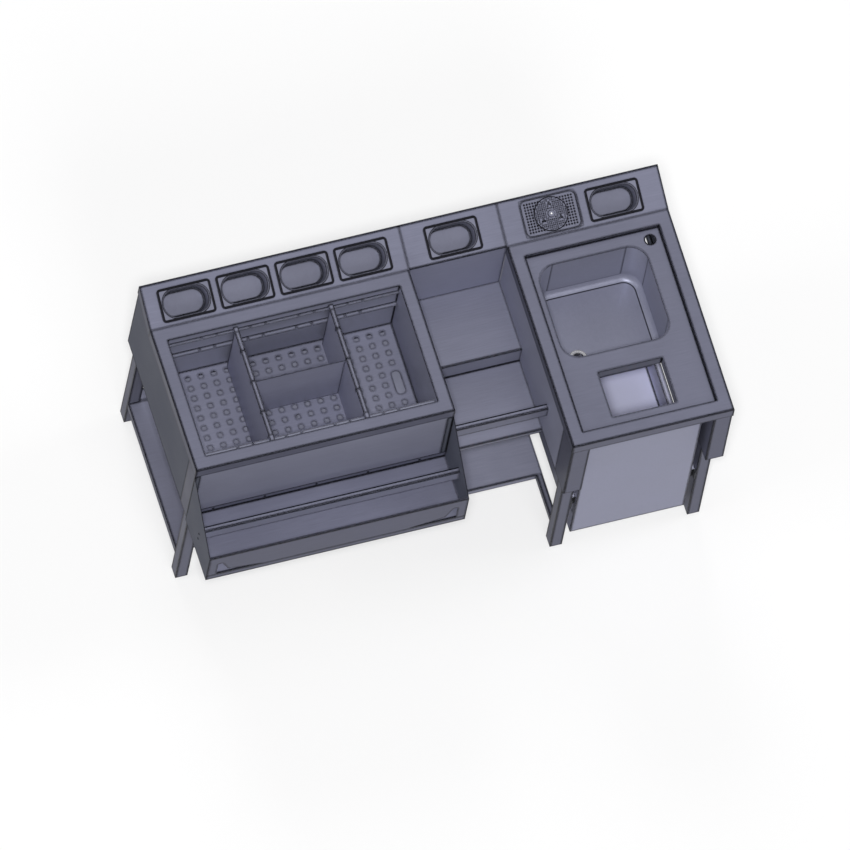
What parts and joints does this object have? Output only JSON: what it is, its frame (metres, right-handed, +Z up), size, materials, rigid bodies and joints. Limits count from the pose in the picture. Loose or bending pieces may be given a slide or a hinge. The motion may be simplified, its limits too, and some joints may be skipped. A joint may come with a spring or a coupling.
{
  "type": "cocktail station",
  "caption": "Stainless bar station: ice well with dividers and speed rail, bottle bay with stepped shelf, sink with waste drawer, garnish pans and glass rinser in a sloped ledge.",
  "frame": {"origin": "on the floor under the middle of the overall box", "axes": "+X to the sink end, +Y to the back, +Z up"},
  "size_m": [1.7, 0.85, 0.9],
  "materials": {
    "top_steel": "satin brushed",
    "well_steel": "smooth satin",
    "insert_steel": "brushed",
    "frame_steel": "brushed tube",
    "rail_steel": "satin brushed",
    "rinser_steel": "polished",
    "drawer_steel": "matt",
    "runner_zinc": "zinc plated",
    "drain_chrome": "polished",
    "valve_brass": "machined",
    "foam": "rigid foam",
    "foot_black": "matt"
  },
  "bodies": {
    "station": {"back_panel": "top_steel", "bay_bar": "rail_steel", "bay_ledge": "top_steel", "bay_undershelf": "top_steel", "bowl_drain": "drain_chrome", "feet": "foot_black", "ice_apron_left": "top_steel", "ice_apron_right": "top_steel", "ice_corner_cover_left": "top_steel", "ice_corner_cover_right": "top_steel", "ice_cross_rails": "frame_steel", "ice_drain": "drain_chrome", "ice_frame_left": "frame_steel", "ice_frame_right": "frame_steel", "ice_front_apron": "top_steel", "ice_ledge": "top_steel", "ice_tank": "well_steel", "ice_undershelf": "top_steel", "ice_worktop": "top_steel", "rinser_grille": "rinser_steel", "rinser_tray": "rinser_steel", "rinser_valve": "valve_brass", "runner_outer_left": "runner_zinc", "runner_outer_right": "runner_zinc", "sink_apron_left": "top_steel", "sink_apron_right": "top_steel", "sink_bowl": "well_steel", "sink_corner_cover_left": "top_steel", "sink_corner_cover_right": "top_steel", "sink_field": "top_steel", "sink_frame_left": "frame_steel", "sink_frame_right": "frame_steel", "sink_ledge": "top_steel", "sink_rear_rail": "frame_steel", "sink_worktop": "top_steel", "speed_rail_bar": "rail_steel", "speed_rail_side_left": "rail_steel", "speed_rail_side_right": "rail_steel", "speed_rail_tray": "rail_steel", "stepped_shelf": "top_steel", "tank_insulation": "foam", "tank_rails": "well_steel", "waste_chute": "well_steel"},
    "waste_drawer": {"drawer_front": "drawer_steel", "drawer_box": "drawer_steel", "runner_inner_left": "runner_zinc", "runner_inner_right": "runner_zinc"},
    "runner_middle_l": {"runner_middle_left": "runner_zinc"},
    "runner_middle_r": {"runner_middle_right": "runner_zinc"},
    "rinser_button": {"rinser_disc": "rinser_steel"},
    "ice_floor": {"false_floor": "insert_steel"},
    "divider_set": {"divider_left": "insert_steel", "divider_right": "insert_steel"},
    "cross": {"cross_divider": "insert_steel"},
    "pan_1": {"garnish_pan_1": "well_steel"},
    "pan_2": {"garnish_pan_2": "well_steel"},
    "pan_3": {"garnish_pan_3": "well_steel"},
    "pan_4": {"garnish_pan_4": "well_steel"},
    "pan_5": {"garnish_pan_5": "well_steel"},
    "pan_6": {"garnish_pan_6": "well_steel"}
  },
  "joints": [
    {"name": "waste_drawer_slide", "type": "slide", "parent": "station", "child": "waste_drawer", "axis": [0, -1, 0], "range_m": [0, 0.4]},
    {"name": "runner_middle_left_slide", "type": "slide", "parent": "station", "child": "runner_middle_l", "axis": [0, -1, 0], "range_m": [0, 0.2]},
    {"name": "runner_middle_right_slide", "type": "slide", "parent": "station", "child": "runner_middle_r", "axis": [0, -1, 0], "range_m": [0, 0.2]},
    {"name": "rinser_press", "type": "slide", "parent": "station", "child": "rinser_button", "axis": [0, 0.3473, -0.9377], "range_m": [0, 0.005], "stiffness_N_per_m": 1500, "springref_m": -0.004},
    {"name": "ice_floor_lift", "type": "slide", "parent": "station", "child": "ice_floor", "axis": [0, 0, 1], "range_m": [0, 0.12]},
    {"name": "divider_set_lift", "type": "slide", "parent": "ice_floor", "child": "divider_set", "axis": [0, 0, 1], "range_m": [0, 0.2]},
    {"name": "cross_divider_lift", "type": "slide", "parent": "divider_set", "child": "cross", "axis": [0, 0, 1], "range_m": [0, 0.2]},
    {"name": "pan_1_lift", "type": "slide", "parent": "station", "child": "pan_1", "axis": [0, -0.3473, 0.9377], "range_m": [0, 0.09]},
    {"name": "pan_2_lift", "type": "slide", "parent": "station", "child": "pan_2", "axis": [0, -0.3473, 0.9377], "range_m": [0, 0.09]},
    {"name": "pan_3_lift", "type": "slide", "parent": "station", "child": "pan_3", "axis": [0, -0.3473, 0.9377], "range_m": [0, 0.09]},
    {"name": "pan_4_lift", "type": "slide", "parent": "station", "child": "pan_4", "axis": [0, -0.3473, 0.9377], "range_m": [0, 0.09]},
    {"name": "pan_5_lift", "type": "slide", "parent": "station", "child": "pan_5", "axis": [0, -0.3473, 0.9377], "range_m": [0, 0.09]},
    {"name": "pan_6_lift", "type": "slide", "parent": "station", "child": "pan_6", "axis": [0, -0.3473, 0.9377], "range_m": [0, 0.09]}
  ],
  "couplings": [
    {"joint": "runner_middle_left_slide", "follows": "waste_drawer_slide", "ratio": 0.5},
    {"joint": "runner_middle_right_slide", "follows": "waste_drawer_slide", "ratio": 0.5}
  ]
}
